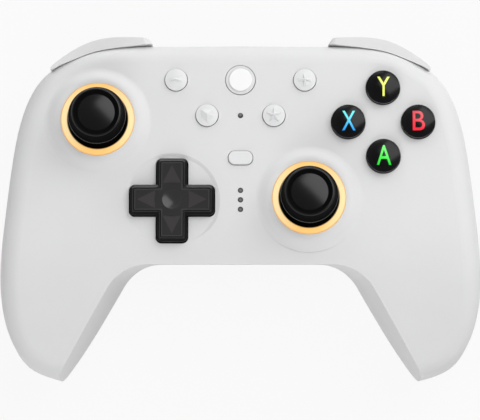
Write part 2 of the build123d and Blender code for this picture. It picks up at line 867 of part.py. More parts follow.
# Thumbsticks
dome_angle = radians(dome_reach)
for side, (x, y) in (("left", left_stick_place), ("right", right_stick_place)):
    with BuildPart() as light_ring:
        post(x, y, ring_outer, ring_foot, ring_top)
        bore(x, y, ring_inner, ring_foot, ring_top)
        fillet(light_ring.faces().sort_by(Axis.Z)[-1].edges(), radius=ring_proud * 2)
    light_ring.part.label = f"{side}_light_ring"
    export_step(light_ring.part, f"parts/{side}_light_ring.step")

    with BuildPart() as stick_module:
        inner_half = module_half - module_wall
        floor_z = board_top + module_floor
        rim_z = pivot_z + module_rise
        with BuildSketch(Plane.XY.offset(board_top)):
            with Locations((x, y)):
                RectangleRounded(2 * module_half, 2 * module_half, module_corner)
        extrude(amount=rim_z - board_top)
        pot_out = module_half + pot_thickness
        block((x + module_half, x + pot_out), (y - pot_half, y + pot_half), (board_top, pivot_z + pot_rise))
        block((x - pot_half, x + pot_half), (y + module_half, y + pot_out), (board_top, pivot_z + pot_rise))
        with BuildSketch(Plane.XY.offset(floor_z)):
            with Locations((x, y)):
                RectangleRounded(2 * inner_half, 2 * inner_half, module_corner - module_wall)
        extrude(amount=rim_z - floor_z, mode=Mode.SUBTRACT)
        trunnion_end = module_half + trunnion_bite
        hole = trunnion_radius + bore_slip
        rod((y, pivot_z), hole, x - trunnion_end, x + trunnion_end + bore_slip, "X", mode=Mode.SUBTRACT)
        rod((x, pivot_z), hole, y - trunnion_end, y + trunnion_end + bore_slip, "Y", mode=Mode.SUBTRACT)
    stick_module.part.label = f"{side}_stick_module"
    export_step(stick_module.part, f"parts/{side}_stick_module.step")

    with BuildPart() as inner_rocker:
        inside, outside = inner_rocker_radii
        rod((x, pivot_z), outside, y - rocker_half, y + rocker_half, "Y")
        rod((x, pivot_z), inside, y - rocker_half, y + rocker_half, "Y", mode=Mode.SUBTRACT)
        below = (pivot_z - outside - overrun, pivot_z - rocker_foot)
        block((x - outside, x + outside), (y - rocker_half, y + rocker_half), below, mode=Mode.SUBTRACT)
        slot_x = (x - inner_slot_reach, x + inner_slot_reach)
        block(slot_x, (y - slot_half, y + slot_half), (pivot_z, pivot_z + outside), mode=Mode.SUBTRACT)
        root = hub_radius + trunnion_inner_gap
        rod((y, pivot_z), trunnion_radius, x - module_half, x - root, "X")
        rod((y, pivot_z), trunnion_radius, x + root, x + trunnion_end, "X")
    inner_rocker.part.label = f"{side}_stick_inner_rocker"
    export_step(inner_rocker.part, f"parts/{side}_stick_inner_rocker.step")

    with BuildPart() as outer_rocker:
        inside, outside = outer_rocker_radii
        rod((y, pivot_z), outside, x - rocker_half, x + rocker_half, "X")
        rod((y, pivot_z), inside, x - rocker_half, x + rocker_half, "X", mode=Mode.SUBTRACT)
        below = (pivot_z - outside - overrun, pivot_z - rocker_foot)
        block((x - rocker_half, x + rocker_half), (y - outside, y + outside), below, mode=Mode.SUBTRACT)
        slot_y = (y - outer_slot_reach, y + outer_slot_reach)
        block((x - slot_half, x + slot_half), slot_y, (pivot_z, pivot_z + outside), mode=Mode.SUBTRACT)
        rod((x, pivot_z), trunnion_radius, y - module_half, y - inside, "Y")
        rod((x, pivot_z), trunnion_radius, y + inside, y + trunnion_end, "Y")
    outer_rocker.part.label = f"{side}_stick_outer_rocker"
    export_step(outer_rocker.part, f"parts/{side}_stick_outer_rocker.step")

    with BuildPart() as stick_hub:
        with Locations((x, y, pivot_z)):
            Sphere(hub_radius)
        bore(x, y, lever_radius + lever_slip, pivot_z - hub_radius, pivot_z + hub_radius)
    stick_hub.part.label = f"{side}_stick_hub"
    export_step(stick_hub.part, f"parts/{side}_stick_hub.step")

    with BuildPart() as stick_lever:
        post(x, y, lever_radius, pivot_z - lever_foot, lever_head_z)
        post(x, y, lever_head_radius, lever_head_z, lever_top_z)
    stick_lever.part.label = f"{side}_stick_lever"
    export_step(stick_lever.part, f"parts/{side}_stick_lever.step")

    with BuildPart() as stick_cap:
        with BuildSketch(upright(x, y)):
            with BuildLine():
                inner_dome = dome_radius - dome_wall
                bore_radius = lever_head_radius + bore_slip
                skirt_out = (dome_radius * sin(dome_angle), pivot_z + dome_radius * cos(dome_angle))
                skirt_in = (inner_dome * sin(dome_angle), pivot_z + inner_dome * cos(dome_angle))
                half_angle = dome_angle / 2
                crown_in = (bore_radius, pivot_z + sqrt(inner_dome**2 - bore_radius**2))
                middle_in = (inner_dome * sin(half_angle), pivot_z + inner_dome * cos(half_angle))
                neck = (stem_radius, pivot_z + sqrt(dome_radius**2 - stem_radius**2))
                middle_out = (dome_radius * sin(half_angle), pivot_z + dome_radius * cos(half_angle))
                ThreePointArc(crown_in, middle_in, skirt_in)
                Line(skirt_in, skirt_out)
                ThreePointArc(skirt_out, middle_out, neck)
                under = (cap_skirt_radius - cap_edge, cap_under_z)
                skirt = (cap_skirt_radius, cap_under_z + cap_edge)
                Line(neck, (stem_radius, stem_top))
                Spline((stem_radius, stem_top), under, tangents=[(0, 1), (1, 0.25)])
                Line(under, skirt)
                shoulder = (cap_radius, cap_top_z - 2 * cap_edge)
                Line(skirt, shoulder)
                rim = (cap_radius - cap_edge, cap_top_z)
                Spline(shoulder, rim, tangents=[(0, 1), (-1, 0.4)])
                dish_z = cap_top_z - cap_dish_depth
                dish_edge = (cap_dish_radius, dish_z)
                Polyline(rim, (cap_dish_radius + cap_dish_slope, cap_top_z), dish_edge)
                top_curve = (cap_dish_radius**2 + cap_dome_rise**2) / (2 * cap_dome_rise)
                top_centre_z = dish_z + cap_dome_rise - top_curve
                halfway = (cap_dish_radius / 2, top_centre_z + sqrt(top_curve**2 - cap_dish_radius**2 / 4))
                middle = (0, dish_z + cap_dome_rise)
                ThreePointArc(dish_edge, halfway, middle)
                Polyline(middle, (0, lever_top_z), (bore_radius, lever_top_z), crown_in)
            make_face()
        revolve(axis=upright_axis(x, y))
    stick_cap.part.label = f"{side}_stick_cap"
    export_step(stick_cap.part, f"parts/{side}_stick_cap.step")

# Direction pad
dpad_x, dpad_y = dpad_place
dpad_top_z = face_z + dpad_proud
dpad_foot_z = dpad_flange_top - dpad_flange_thickness
with BuildPart() as dpad:
    with BuildSketch(Plane.XY.offset(dpad_foot_z)) as cross:
        with Locations(dpad_place):
            Rectangle(dpad_span, dpad_arm)
            Rectangle(dpad_arm, dpad_span)
        fillet(cross_tips(cross), dpad_corner)
    extrude(amount=dpad_top_z - dpad_foot_z)
    top = dpad.faces().sort_by(Axis.Z)[-1]
    chamfer(top.edges(), length=dpad_bevel, length2=dpad_bevel_drop, reference=top)
    post(dpad_x, dpad_y, dpad_flange_radius, dpad_foot_z, dpad_flange_top)
    dimple = (dpad_dimple_radius**2 + dpad_dimple_depth**2) / (2 * dpad_dimple_depth)
    with Locations((dpad_x, dpad_y, dpad_top_z + dimple - dpad_dimple_depth)):
        Sphere(dimple, mode=Mode.SUBTRACT)
    with BuildSketch(Plane.XY.offset(dpad_top_z - triangle_depth)):
        with Locations(dpad_place):
            with PolarLocations(0, 4):
                apex = (triangle_reach, 0)
                heel_x = triangle_reach - triangle_height
                Polygon(apex, (heel_x, triangle_base / 2), (heel_x, -triangle_base / 2), align=None)
    extrude(amount=overrun, mode=Mode.SUBTRACT)
    with Locations((dpad_x, dpad_y, dpad_pivot_z)):
        Sphere(dpad_ball_radius + dpad_ball_gap, mode=Mode.SUBTRACT)
dpad.part.label = "dpad"
export_step(dpad.part, "parts/dpad.step")

with BuildPart() as dpad_pivot:
    with Locations((dpad_x, dpad_y, dpad_pivot_z)):
        Sphere(dpad_ball_radius)
dpad_pivot.part.label = "dpad_pivot"
export_step(dpad_pivot.part, "parts/dpad_pivot.step")

with BuildPart() as dpad_pad:
    pad_top = board_top + pad_thickness
    post(dpad_x, dpad_y, dpad_pad_radius, board_top, pad_top)
    post(dpad_x, dpad_y, dpad_dome_top, pad_top, dpad_pivot_z - dpad_ball_radius - slip)
    rise = dpad_foot_z - dpad_dome_gap - pad_top
    for i in range(4):
        turn = radians(90 * i)
        place = (dpad_x + dpad_dome_reach * cos(turn), dpad_y + dpad_dome_reach * sin(turn), pad_top)
        with Locations(place):
            Cone(dpad_dome_base, dpad_dome_top, rise, align=(Align.CENTER, Align.CENTER, Align.MIN))
dpad_pad.part.label = "dpad_pad"
export_step(dpad_pad.part, "parts/dpad_pad.step")

# Face buttons
button_top_z = face_z + button_proud
flange_top = face_under - slip
crown = (button_radius**2 + button_crown**2) / (2 * button_crown)
for name, (x, y) in face_buttons.items():
    with BuildPart() as face_button:
        with BuildSketch(upright(x, y)):
            with BuildLine():
                flange = button_radius + button_flange
                flange_foot = flange_top - button_flange_thickness
                peak = button_top_z + button_crown
                Polyline(
                    (0, peak), (0, button_foot_z), (button_skirt_radius, button_foot_z),
                    (button_skirt_radius, flange_foot), (flange, flange_foot), (flange, flange_top),
                    (button_radius, flange_top), (button_radius, button_top_z),
                )
                halfway = (button_radius / 2, peak - crown + sqrt(crown**2 - button_radius**2 / 4))
                ThreePointArc((button_radius, button_top_z), halfway, (0, peak))
            make_face()
        revolve(axis=upright_axis(x, y))
    face_button.part.label = name
    export_step(face_button.part, f"parts/{name}.step")

with BuildPart() as face_button_pad:
    with BuildSketch(Plane.XY.offset(board_top)):
        with Locations(face_places):
            Circle(pad_disc)
        with Locations((outer_x, outer_y)):
            Rectangle(2 * face_button_reach, pad_web)
            Rectangle(pad_web, 2 * face_button_reach)
    extrude(amount=pad_thickness)
    rise = button_foot_z - button_travel - slip - pad_top
    for x, y in face_places:
        with Locations((x, y, pad_top)):
            Cone(pad_dome_base, pad_dome_top, rise, align=(Align.CENTER, Align.CENTER, Align.MIN))
face_button_pad.part.label = "face_button_pad"
export_step(face_button_pad.part, "parts/face_button_pad.step")

# Small buttons
small_peak = face_z + small_proud + small_crown
small_dome = (small_radius**2 + small_crown**2) / (2 * small_crown)
for name, (x, y) in small_buttons.items():
    with BuildPart() as small_button:
        post(x, y, small_radius, flange_top, face_z + small_proud)
        post(x, y, small_radius + small_flange, flange_top - small_flange_thickness, flange_top)
        post(x, y, small_stem_radius, small_foot_z, flange_top)
        with BuildSketch(upright(x, y)):
            with BuildLine():
                dome_centre = small_peak - small_dome
                halfway = (small_radius / 2, dome_centre + sqrt(small_dome**2 - small_radius**2 / 4))
                ThreePointArc((small_radius, face_z + small_proud), halfway, (0, small_peak))
                Polyline((0, small_peak), (0, face_z + small_proud), (small_radius, face_z + small_proud))
            make_face()
        revolve(axis=upright_axis(x, y))
    small_button.part.label = name
    export_step(small_button.part, f"parts/{name}.step")

with BuildPart() as home_button:
    post(0, menu_row_y, home_ring, flange_top, face_z + small_proud - home_step)
    post(0, menu_row_y, home_radius, flange_top, face_z + small_proud)
    fillet(home_button.faces().sort_by(Axis.Z)[-1].edges(), radius=small_crown)
    post(0, menu_row_y, home_ring + small_flange, flange_top - small_flange_thickness, flange_top)
    post(0, menu_row_y, small_stem_radius, small_foot_z, flange_top)
home_button.part.label = "home_button"
export_step(home_button.part, "parts/home_button.step")

with BuildPart() as profile_button:
    with BuildSketch(Plane.XY.offset(flange_top - small_flange_thickness)):
        with Locations((0, profile_y)):
            RectangleRounded(
                profile_length + 2 * small_flange,
                profile_width + 2 * small_flange,
                profile_corner + small_flange,
            )
    extrude(amount=small_flange_thickness)
    with BuildSketch(Plane.XY.offset(flange_top)):
        with Locations((0, profile_y)):
            RectangleRounded(profile_length, profile_width, profile_corner)
    extrude(amount=face_z + profile_proud - flange_top)
    fillet(profile_button.faces().sort_by(Axis.Z)[-1].edges(), radius=small_crown)
    post(0, profile_y, small_stem_radius, small_foot_z, flange_top)
profile_button.part.label = "profile_button"
export_step(profile_button.part, "parts/profile_button.step")

# Lamps
lamp_under = face_under - bore_slip
with BuildPart() as status_lens:
    post(0, second_row_y, lamp_radius, lamp_under, face_z)
    post(0, second_row_y, lamp_radius + lamp_flange, lamp_under - lamp_flange_thickness, lamp_under)
status_lens.part.label = "status_lens"
export_step(status_lens.part, "parts/status_lens.step")

with BuildPart() as profile_lens:
    for y in lamp_places[1:]:
        post(0, y, lamp_radius, lamp_under, face_z)
    half_bar = lamp_pitch + lamp_radius + lamp_flange
    bar_half_width = lamp_radius + lamp_flange
    block((-bar_half_width, bar_half_width), (lamp_y - half_bar, lamp_y + half_bar),
          (lamp_under - lamp_flange_thickness, lamp_under))
profile_lens.part.label = "profile_lens"
export_step(profile_lens.part, "parts/profile_lens.step")

# Main board and its switches
with BuildPart() as main_board:
    with BuildSketch(Plane.XY.offset(board_z)):
        with BuildLine():
            Polyline(
                (0, board_low_y), (board_low_half, board_low_y), (board_low_half, board_step_y),
                (board_half, board_step_y), (board_half, board_shoulder_y), (board_top_half, board_top_y),
                (board_neck_half, board_top_y), (board_neck_half, board_neck_y),
                (board_tongue_half, board_neck_y), (board_tongue_half, board_tongue_y), (0, board_tongue_y),
            )
            mirror(about=Plane.YZ)
        make_face()
    extrude(amount=board_thickness)
    for x, y in both_sides(case_screw_places[1:]):
        bore(x, y, case_boss_radius + clearance, board_z, board_top)
    for x, y in both_sides(board_post_places) + [(0, board_middle_post_y)]:
        bore(x, y, board_screw_radius + bore_slip, board_z, board_top)
main_board.part.label = "main_board"
export_step(main_board.part, "parts/main_board.step")

switch_places = [*small_buttons.values(), (0, menu_row_y), (0, profile_y)]
with BuildPart() as face_switches:
    for x, y in switch_places:
        block((x - switch_side / 2, x + switch_side / 2), (y - switch_side / 2, y + switch_side / 2),
              (board_top, switch_top))
        post(x, y, plunger_radius, switch_top, switch_top + plunger_height)
face_switches.part.label = "face_switches"
export_step(face_switches.part, "parts/face_switches.step")

with BuildPart() as edge_switches:
    edge_y = board_neck_y - bore_slip
    plunger_end = shoulder_inner_y - slip - lip_thickness - small_travel - slip
    for x, z in inner_buttons + [(pair_x, pair_z)]:
        block((x - switch_side / 2, x + switch_side / 2), (edge_y - switch_side, edge_y),
              (board_top, board_top + switch_height))
        rod((x, board_top + switch_height / 2), plunger_radius, edge_y, plunger_end, "Y")
edge_switches.part.label = "edge_switches"
export_step(edge_switches.part, "parts/edge_switches.step")

# Charging port
port_front_y = shoulder_y - port_inset
with BuildPart() as usb_port:
    port_plane = Plane.XZ.offset(-(port_front_y - port_depth))
    with BuildSketch(port_plane):
        with Locations((0, port_z)):
            SlotOverall(port_width, port_height)
    extrude(amount=-port_depth)
    with BuildSketch(Plane.XZ.offset(-(port_front_y - port_depth + tongue_back))):
        with Locations((0, port_z)):
            SlotOverall(port_width - 2 * port_wall, port_height - 2 * port_wall)
    extrude(amount=-port_depth, mode=Mode.SUBTRACT)
    tongue_y = (port_front_y - port_depth + tongue_back / 2, port_front_y - tongue_back)
    tongue_z = (port_z - tongue_height / 2, port_z + tongue_height / 2)
    block((-tongue_width / 2, tongue_width / 2), tongue_y, tongue_z)
usb_port.part.label = "usb_port"
export_step(usb_port.part, "parts/usb_port.step")

# Battery
with BuildPart() as battery:
    with BuildSketch(Plane.XY.offset(battery_z)):
        with Locations((0, battery_y)):
            RectangleRounded(battery_length, battery_width, battery_corner)
    extrude(amount=battery_height)
    fillet(battery.faces().sort_by(Axis.Z)[-1].edges(), radius=battery_corner / 3)
battery.part.label = "battery"
export_step(battery.part, "parts/battery.step")

# Rumble motors with their offset weights
for side, sign, weight_radius in (("left", -1, weight_radii[1]), ("right", 1, weight_radii[0])):
    with BuildPart() as motor:
        can = sorted((sign * motor_x[0], sign * motor_x[1]))
        rod((motor_y, motor_z), motor_radius, *can, "X")
        chamfer(motor.edges().filter_by(GeomType.CIRCLE), length=motor_edge)
        shaft_end = sign * (motor_x[0] + motor_radius)
        rod((motor_y, motor_z), motor_shaft_radius + bore_slip, *sorted((sign * motor_x[0], shaft_end)), "X",
            mode=Mode.SUBTRACT)
    motor.part.label = f"{side}_motor"
    export_step(motor.part, f"parts/{side}_motor.step")

    with BuildPart() as motor_weight:
        ends = sorted((sign * weight_x[0], sign * weight_x[1]))
        rod((motor_y, motor_z), weight_radius, *ends, "X")
        above = (motor_z + motor_shaft_radius, motor_z + weight_radius)
        block(ends, (motor_y - weight_radius, motor_y + weight_radius), above, mode=Mode.SUBTRACT)
        rod((motor_y, motor_z), 2 * motor_shaft_radius, *ends, "X")
        shaft = sorted((sign * weight_x[0], shaft_end - sign * motor_edge))
        rod((motor_y, motor_z), motor_shaft_radius, *shaft, "X")
    motor_weight.part.label = f"{side}_motor_weight"
    export_step(motor_weight.part, f"parts/{side}_motor_weight.step")

# Fasteners
with BuildPart() as case_screws:
    for x, y in both_sides(case_screw_places):
        post(x, y, case_screw_radius, case_seat_z, case_seat_z + case_screw_length)
        post(x, y, case_head_radius, case_seat_z - case_head_height, case_seat_z)
        foot = case_seat_z - case_head_height
        bore(x, y, socket_radius, foot, foot + socket_depth)
case_screws.part.label = "case_screws"
export_step(case_screws.part, "parts/case_screws.step")

with BuildPart() as board_screws:
    for x, y in both_sides(board_post_places) + [(0, board_middle_post_y)]:
        post(x, y, board_screw_radius, board_z, board_z + board_screw_length)
        post(x, y, board_head_radius, board_z - board_head_height, board_z)
board_screws.part.label = "board_screws"
export_step(board_screws.part, "parts/board_screws.step")
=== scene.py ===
import math

import bpy
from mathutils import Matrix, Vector


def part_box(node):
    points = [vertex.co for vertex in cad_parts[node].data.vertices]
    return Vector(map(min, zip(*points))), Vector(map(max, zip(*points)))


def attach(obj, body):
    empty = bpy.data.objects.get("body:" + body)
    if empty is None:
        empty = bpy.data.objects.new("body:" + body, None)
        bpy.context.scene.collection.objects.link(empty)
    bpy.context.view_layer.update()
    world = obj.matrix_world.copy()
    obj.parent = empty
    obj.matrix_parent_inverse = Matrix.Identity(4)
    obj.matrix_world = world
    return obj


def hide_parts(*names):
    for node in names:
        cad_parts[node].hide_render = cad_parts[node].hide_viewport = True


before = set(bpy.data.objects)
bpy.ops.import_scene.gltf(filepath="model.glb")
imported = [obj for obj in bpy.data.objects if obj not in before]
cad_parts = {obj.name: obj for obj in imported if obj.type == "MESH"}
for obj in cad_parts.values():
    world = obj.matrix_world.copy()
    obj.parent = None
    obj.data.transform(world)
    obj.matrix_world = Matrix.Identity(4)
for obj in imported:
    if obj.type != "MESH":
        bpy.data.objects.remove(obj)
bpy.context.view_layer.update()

MM = 0.001


def middle(node):
    """The centre of a node's box and the height of its top, in millimetres."""
    low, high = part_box(node)
    centre = (low + high) / 2 / MM
    return centre.x, centre.y, high.z / MM


# Camera at the photograph's angle, ten degrees off the face's normal towards the player
IMAGE_WIDTH = 480
PIXELS_PER_MM = 3.279
SENSOR = 36.0
FAR_CLIP = 20.0
CAMERA_DISTANCE = 1000.0
CAMERA_ELEVATION = math.radians(80.0)
AIM = Vector((-0.15, -2.9, 47.0))


def set_camera():
    """A long lens on the face, aimed a little below its middle."""
    lens = bpy.data.cameras.new("camera")
    lens.sensor_width = SENSOR
    lens.lens = SENSOR * CAMERA_DISTANCE * PIXELS_PER_MM / IMAGE_WIDTH
    lens.clip_end = FAR_CLIP
    camera = bpy.data.objects.new("camera", lens)
    bpy.context.scene.collection.objects.link(camera)
    away = Vector((0, -math.cos(CAMERA_ELEVATION), math.sin(CAMERA_ELEVATION)))
    camera.location = (AIM + away * CAMERA_DISTANCE) * MM
    camera.rotation_euler = (math.pi / 2 - CAMERA_ELEVATION, 0, 0)
    bpy.context.scene.camera = camera


set_camera()
bpy.context.scene.view_settings.view_transform = "Standard"


class Wire:
    """A number socket; arithmetic on it adds Math nodes to its tree."""

    def __init__(self, tree, socket):
        self.tree = tree
        self.socket = socket

    def calc(self, operation, *values):
        step = self.tree.nodes.new("ShaderNodeMath")
        step.operation = operation
        for entry, value in zip(step.inputs, values):
            if isinstance(value, Wire):
                self.tree.links.new(value.socket, entry)
            else:
                entry.default_value = value
        return Wire(self.tree, step.outputs[0])

    def __add__(self, other):
        return self.calc("ADD", self, other)

    def __sub__(self, other):
        return self.calc("SUBTRACT", self, other)

    def __rsub__(self, other):
        return self.calc("SUBTRACT", other, self)

    def __mul__(self, other):
        return self.calc("MULTIPLY", self, other)

    def __truediv__(self, other):
        return self.calc("DIVIDE", self, other)

    __radd__ = __add__
    __rmul__ = __mul__

    def root(self):
        return self.calc("SQRT", self)

    def size(self):
        return self.calc("ABSOLUTE", self)

    def between(self, low, high):
        """0 at low, 1 at high, held at both ends."""
        step = (self - low) / (high - low)
        step.socket.node.use_clamp = True
        return step

    def band(self, start, full, fade, end):
        """0 outside start and end, 1 from full to fade."""
        return self.between(start, full) * (1 - self.between(fade, end))

    def folded(self, pitch):
        """Repeats every pitch, from minus half of it to half of it."""
        return self.calc("WRAP", self, pitch / 2, -pitch / 2)


class Finish:
    """A surface finish: one Principled shader and the nodes that vary it."""

    def __init__(self, name, colour, roughness, constants=None):
        self.material = bpy.data.materials.new(name)
        self.material.use_nodes = True
        self.tree = self.material.node_tree
        self.shader = self.tree.nodes["Principled BSDF"]
        self.shader.inputs["Base Color"].default_value = (*colour, 1)
        self.shader.inputs["Roughness"].default_value = roughness
        for socket, value in (constants or {}).items():
            self.shader.inputs[socket].default_value = value

    def node(self, kind, settings, sockets):
        made = self.tree.nodes.new("ShaderNode" + kind)
        for key, value in settings.items():
            setattr(made, key, value)
        for key, value in sockets.items():
            self.feed(made.inputs[key], value)
        return made

    def feed(self, entry, value):
        if isinstance(value, Wire):
            self.tree.links.new(value.socket, entry)
        elif isinstance(value, bpy.types.NodeSocket):
            self.tree.links.new(value, entry)
        else:
            entry.default_value = value

    def set(self, socket, value):
        self.feed(self.shader.inputs[socket], value)

    def place(self, centre=(0, 0, 0)):
        """Coordinates from a centre in millimetres, as a vector socket in metres."""
        coordinates = self.node("TexCoord", {}, {}).outputs["Object"]
        moved = [-c * MM for c in centre]
        return self.node("Mapping", {}, {"Vector": coordinates, "Location": moved}).outputs[0]

    def along(self, vector):
        """The three numbers of a vector, in millimetres."""
        parts = self.node("SeparateXYZ", {}, {"Vector": vector})
        return [Wire(self.tree, out) / MM for out in parts.outputs]

    def about(self, x, y):
        """Distances from an upright axis, in millimetres: across, up and straight out."""
        across, up, _ = self.along(self.place((x, y, 0)))
        return across, up, (across * across + up * up).root()

    def noise(self, grain, detail=2.0):
        """Noise with a grain in millimetres, from 0 to 1."""
        sockets = {"Vector": self.place(), "Scale": 1 / (grain * MM), "Detail": detail}
        return Wire(self.tree, self.node("TexNoise", {}, sockets).outputs["Fac"])

    def blend(self, mask, first, second):
        """A colour between two, each a triple or a colour socket."""
        mix = self.node("Mix", {"data_type": "RGBA"}, {})
        self.feed(mix.inputs[0], mask)
        for index, colour in ((6, first), (7, second)):
            self.feed(mix.inputs[index], (*colour, 1) if isinstance(colour, tuple) else colour)
        return mix.outputs[2]

    def bump(self, height, depth):
        """Bump whose full height is a depth in millimetres."""
        sockets = {"Height": height, "Distance": depth * MM, "Strength": 1.0}
        self.set("Normal", self.node("Bump", {}, sockets).outputs["Normal"])


def tint(colour, share):
    """A colour made darker or lighter by a share."""
    return tuple(min(1, c * share) for c in colour)


def moulded(name, colour, roughness, grain=0.25, depth=0.006, mottle=0.02, constants=None):
    """Moulded plastic: a fine spark-eroded grain, with slow changes of tone and polish."""
    finish = Finish(name, colour, roughness, constants)
    slow = finish.noise(14.0, 3.0)
    finish.set("Base Color", finish.blend(slow, tint(colour, 1 - mottle), tint(colour, 1 + mottle)))
    fine = finish.noise(grain, 1.0)
    finish.set("Roughness", roughness + (slow - 0.5) * 0.12 + (fine - 0.5) * 0.08)
    finish.bump(fine, depth)
    return finish


def brushed(name, colour, roughness, stretch):
    """Drawn or turned metal, with lines along the axis that stretch leaves short."""
    finish = Finish(name, colour, roughness, {"Metallic": 1.0})
    place = finish.node("Mapping", {}, {"Vector": finish.place(), "Scale": stretch}).outputs[0]
    lines = finish.node("TexNoise", {}, {"Vector": place, "Scale": 2500.0, "Detail": 3.0})
    lines = Wire(finish.tree, lines.outputs["Fac"])
    finish.set("Base Color", finish.blend(lines, tint(colour, 0.86), tint(colour, 1.08)))
    finish.set("Roughness", roughness + (lines - 0.5) * 0.2)
    finish.bump(lines, 0.004)
    return finish


RING_WARM = (1.0, 0.60, 0.17)
RING_PALE = (1.0, 0.82, 0.44)
RING_RIM = (0.62, 0.28, 0.07)
RING_SHADE = (0.05, 0.018, 0.004)
RING_BASE = (0.34, 0.21, 0.09)
RING_INSIDE = (9.2, 9.55)
RING_OUTSIDE = (10.85, 11.35)
RING_SIDES = (0.3, 1.0)
RING_GLOW = 0.78


def glowing_ring(name, node):
    """A light guide lit from below: pale at its two sides, deeper at its outer rim, with painted shade
    at its inner edge.
    """
    x, y, _ = middle(node)
    finish = Finish(name, RING_BASE, 0.4)
    across, _, radius = finish.about(x, y)
    side = (across / radius).size().between(*RING_SIDES)
    core = finish.blend(side, RING_WARM, RING_PALE)
    # Inside these radii both glow and colour fall to RING_SHADE: painted shade next to the stick.
    inner = radius.between(*RING_INSIDE)
    outer = radius.between(*RING_OUTSIDE)
    lit = finish.blend(outer, core, RING_RIM)
    finish.set("Emission Color", finish.blend(inner, RING_SHADE, lit))
    finish.set("Base Color", finish.blend(inner, RING_SHADE, RING_BASE))
    finish.shader.inputs["Emission Strength"].default_value = RING_GLOW
    return finish


SHELL_COLOUR = (0.72, 0.72, 0.722)
BUTTON_WHITE = (0.75, 0.755, 0.76)
HOME_WHITE = (0.90, 0.90, 0.90)
HOME_DISC = (3.35, 3.6)
LAMP_PITCH = 2.95
LAMP_RIM = (0.15, 0.75)
LAMP_PALE = (0.17, 0.17, 0.175)
LAMP_DARK = (0.035, 0.035, 0.037)

shell = moulded("shell_plastic", SHELL_COLOUR, 0.48)
small_white = moulded("small_button_plastic", BUTTON_WHITE, 0.34, grain=0.18, depth=0.003)
gloss_black = moulded(
    "face_button_plastic", (0.003, 0.003, 0.0035), 0.2, grain=1.2, depth=0.0006, mottle=0.1,
    constants={"Specular IOR Level": 0.34},
)
module_black = moulded("module_plastic", (0.035, 0.035, 0.04), 0.42)
switch_black = moulded("switch_plastic", (0.03, 0.03, 0.032), 0.4)
silicone = moulded("silicone", (0.42, 0.43, 0.45), 0.55, grain=0.4, depth=0.01)
steel = brushed("plated_steel", (0.60, 0.60, 0.62), 0.28, (1, 1, 12))
can_steel = brushed("motor_can", (0.55, 0.55, 0.57), 0.32, (0.08, 1, 1))
gold = brushed("gold_contact", (0.85, 0.60, 0.22), 0.22, (1, 1, 0.1))
foil = brushed("battery_foil", (0.58, 0.59, 0.61), 0.42, (0.2, 1, 1))


def home_plastic():
    """The home button: a whiter disc in a ring of the shell's tone."""
    x, y, _ = middle("home_button")
    finish = moulded("home_button_plastic", BUTTON_WHITE, 0.34, grain=0.18, depth=0.003)
    _, _, radius = finish.about(x, y)
    finish.set("Base Color", finish.blend(radius.between(*HOME_DISC), HOME_WHITE, SHELL_COLOUR))
    return finish


def lamp_plastic():
    """Unlit lamps behind small windows, paler in the middle; the three in a row repeat."""
    _, y, _ = middle("profile_lens")
    finish = Finish("lamp_lens", (0.1, 0.1, 0.1), 0.25)
    across, up, _ = finish.along(finish.place((0, y, 0)))
    up = up.folded(LAMP_PITCH)
    rim = (across * across + up * up).root().between(*LAMP_RIM)
    grain = finish.noise(0.3, 1.0)
    finish.set("Base Color", finish.blend(rim, LAMP_PALE, LAMP_DARK))
    finish.set("Roughness", 0.22 + grain * 0.08)
    return finish


# Radii of the thumbstick cap's shiny places, each mask with its soft edges
RUBBER = (0.004, 0.004, 0.0043)
DOME_SHINE = (5.5, 5.65)
RIM_SHINE = (6.9, 7.05, 7.45, 7.6)
SKIRT_SHINE = (8.6, 8.72)


def stick_rubber_on(side):
    """Matt rubber, polished by use to a soft shine on the cap's dome, its rim and the edge of its
    skirt.
    """
    x, y, _ = middle(side + "_stick_cap")
    finish = moulded(
        side + "_stick_rubber", RUBBER, 0.62, grain=0.3, depth=0.004, mottle=0.15,
        constants={"Specular IOR Level": 0.008, "Coat Roughness": 0.19},
    )
    _, _, radius = finish.about(x, y)
    dome = 1 - radius.between(*DOME_SHINE)
    finish.set("Coat Weight", dome + radius.band(*RIM_SHINE) + radius.between(*SKIRT_SHINE))
    return finish


# The direction pad: its cross, and the widths of its finishes and painted highlights inward from the
# cross's outline
PAD_BLACK = (0.005, 0.005, 0.005)
PAD_FACE = (0.026, 0.0245, 0.025)
PAD_ARROW_LIT_GREY = (0.042, 0.039, 0.040)
PAD_HIGHLIGHT_GREY = (0.052, 0.050, 0.051)
PAD_ROUGHNESS = 0.4
PAD_SPAN = 25.7
PAD_ARM = 9.3
PAD_EDGE = (1.32, 1.52)
PAD_RIDGE = (0.75, 0.9, 1.05, 1.15)
PAD_LIP = (1.3, 1.4, 1.6, 1.75)
PAD_RIDGE_HIGHLIGHT = 0.8
FACING_BACK = (0.25, 0.5)
ARROW_REACH = 10.6
ARROW_HEEL = 5.1
ARROW_HALF = 2.75
ARROW_BLUR = 0.04
DIMPLE_RADIUS = 2.95
DIMPLE_BLUR = 0.1


